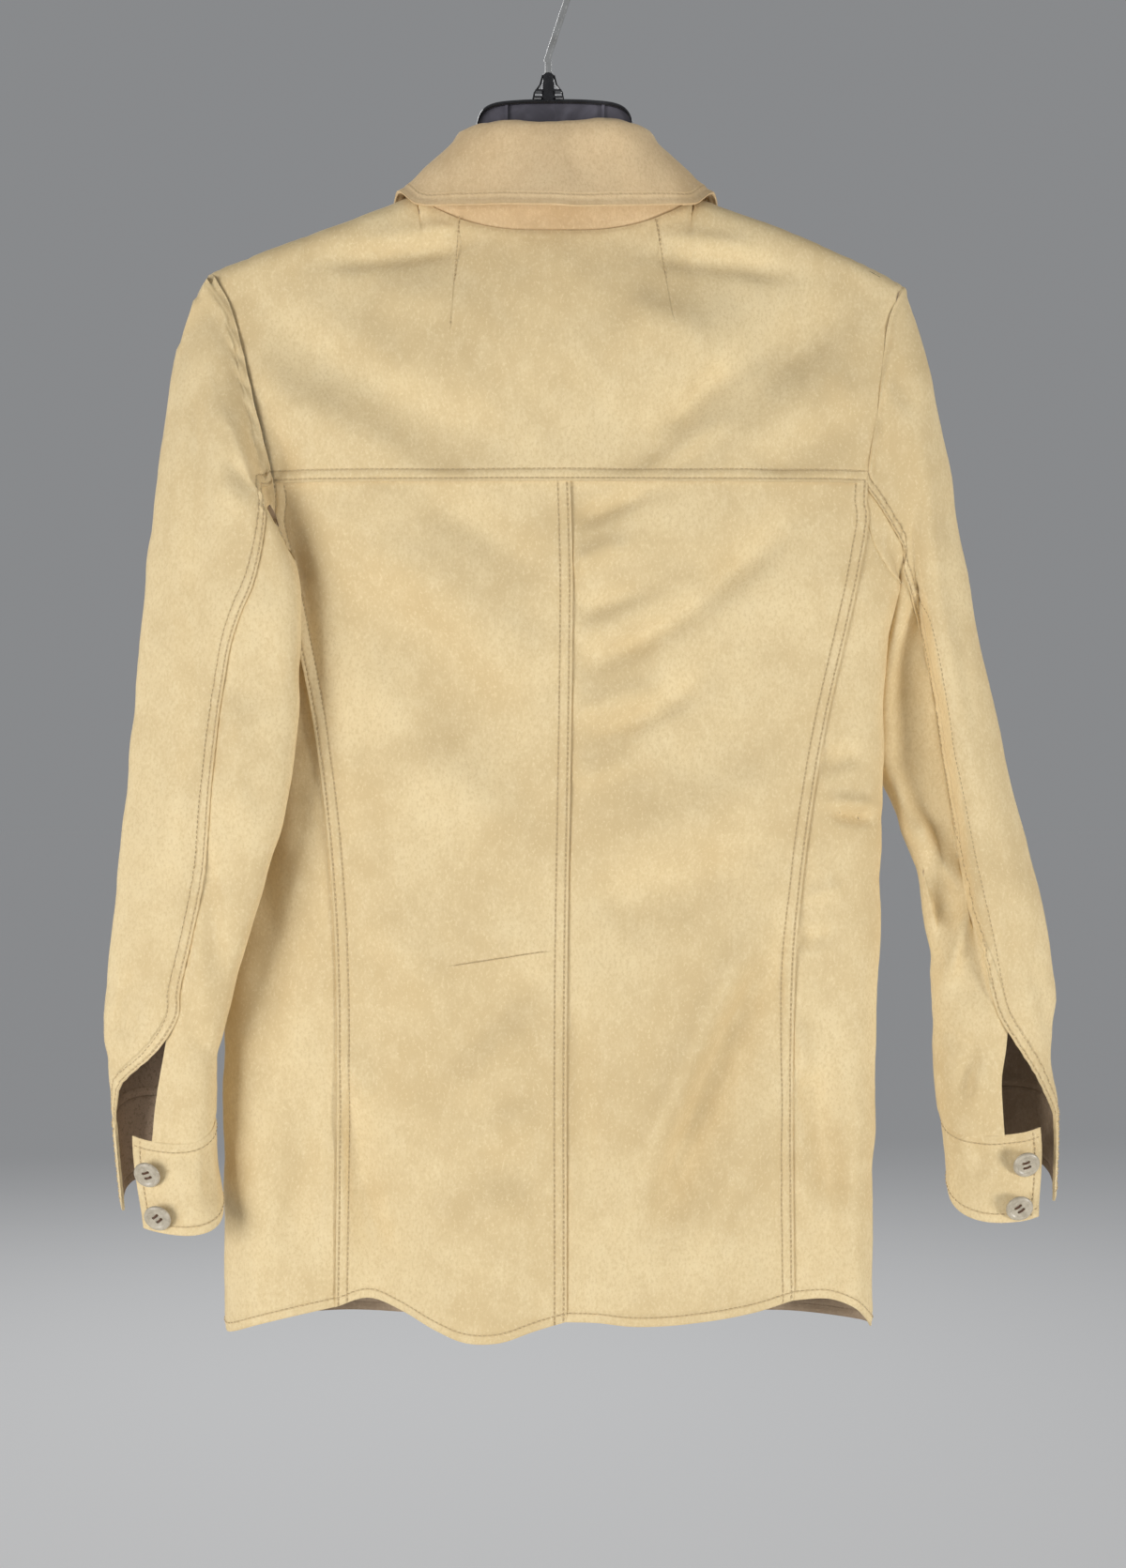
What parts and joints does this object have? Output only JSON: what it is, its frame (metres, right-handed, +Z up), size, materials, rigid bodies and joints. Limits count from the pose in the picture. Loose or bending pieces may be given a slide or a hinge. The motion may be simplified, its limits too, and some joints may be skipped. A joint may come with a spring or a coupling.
{
  "type": "safari jacket on a moulded clothes hanger",
  "caption": "Long-sleeved safari jacket of pale suede-like cloth, hanging buttoned on a black moulded hanger with a chrome wire hook.",
  "frame": {"origin": "inner top of the hanger's hook, where a rail carries it", "axes": "+Z up along the hanging line, garment front towards -Y, wearer's left towards +X"},
  "size_m": [0.5898, 0.0989, 0.8722],
  "materials": {
    "suede": "soft napped suede cloth",
    "collar_suede": "soft napped suede cloth",
    "button_plastic": "satin",
    "hanger_plastic": "gloss",
    "hook_chrome": "polished"
  },
  "bodies": {
    "root": {"back_yoke": "suede", "back_left": "suede", "back_right": "suede", "side_left": "suede", "side_right": "suede", "front_left": "suede", "front_right": "suede", "sleeve_left_upper": "suede", "sleeve_left_under": "suede", "sleeve_right_upper": "suede", "sleeve_right_under": "suede", "cuff_left": "suede", "cuff_right": "suede", "collar": "collar_suede", "cuff_button_left_1": "button_plastic", "cuff_button_left_2": "button_plastic", "cuff_button_right_1": "button_plastic", "cuff_button_right_2": "button_plastic", "front_button_1": "button_plastic", "front_button_2": "button_plastic", "front_button_3": "button_plastic", "front_button_4": "button_plastic", "front_button_5": "button_plastic", "hanger": "hanger_plastic", "hanger_hook": "hook_chrome"}
  },
  "joints": []
}
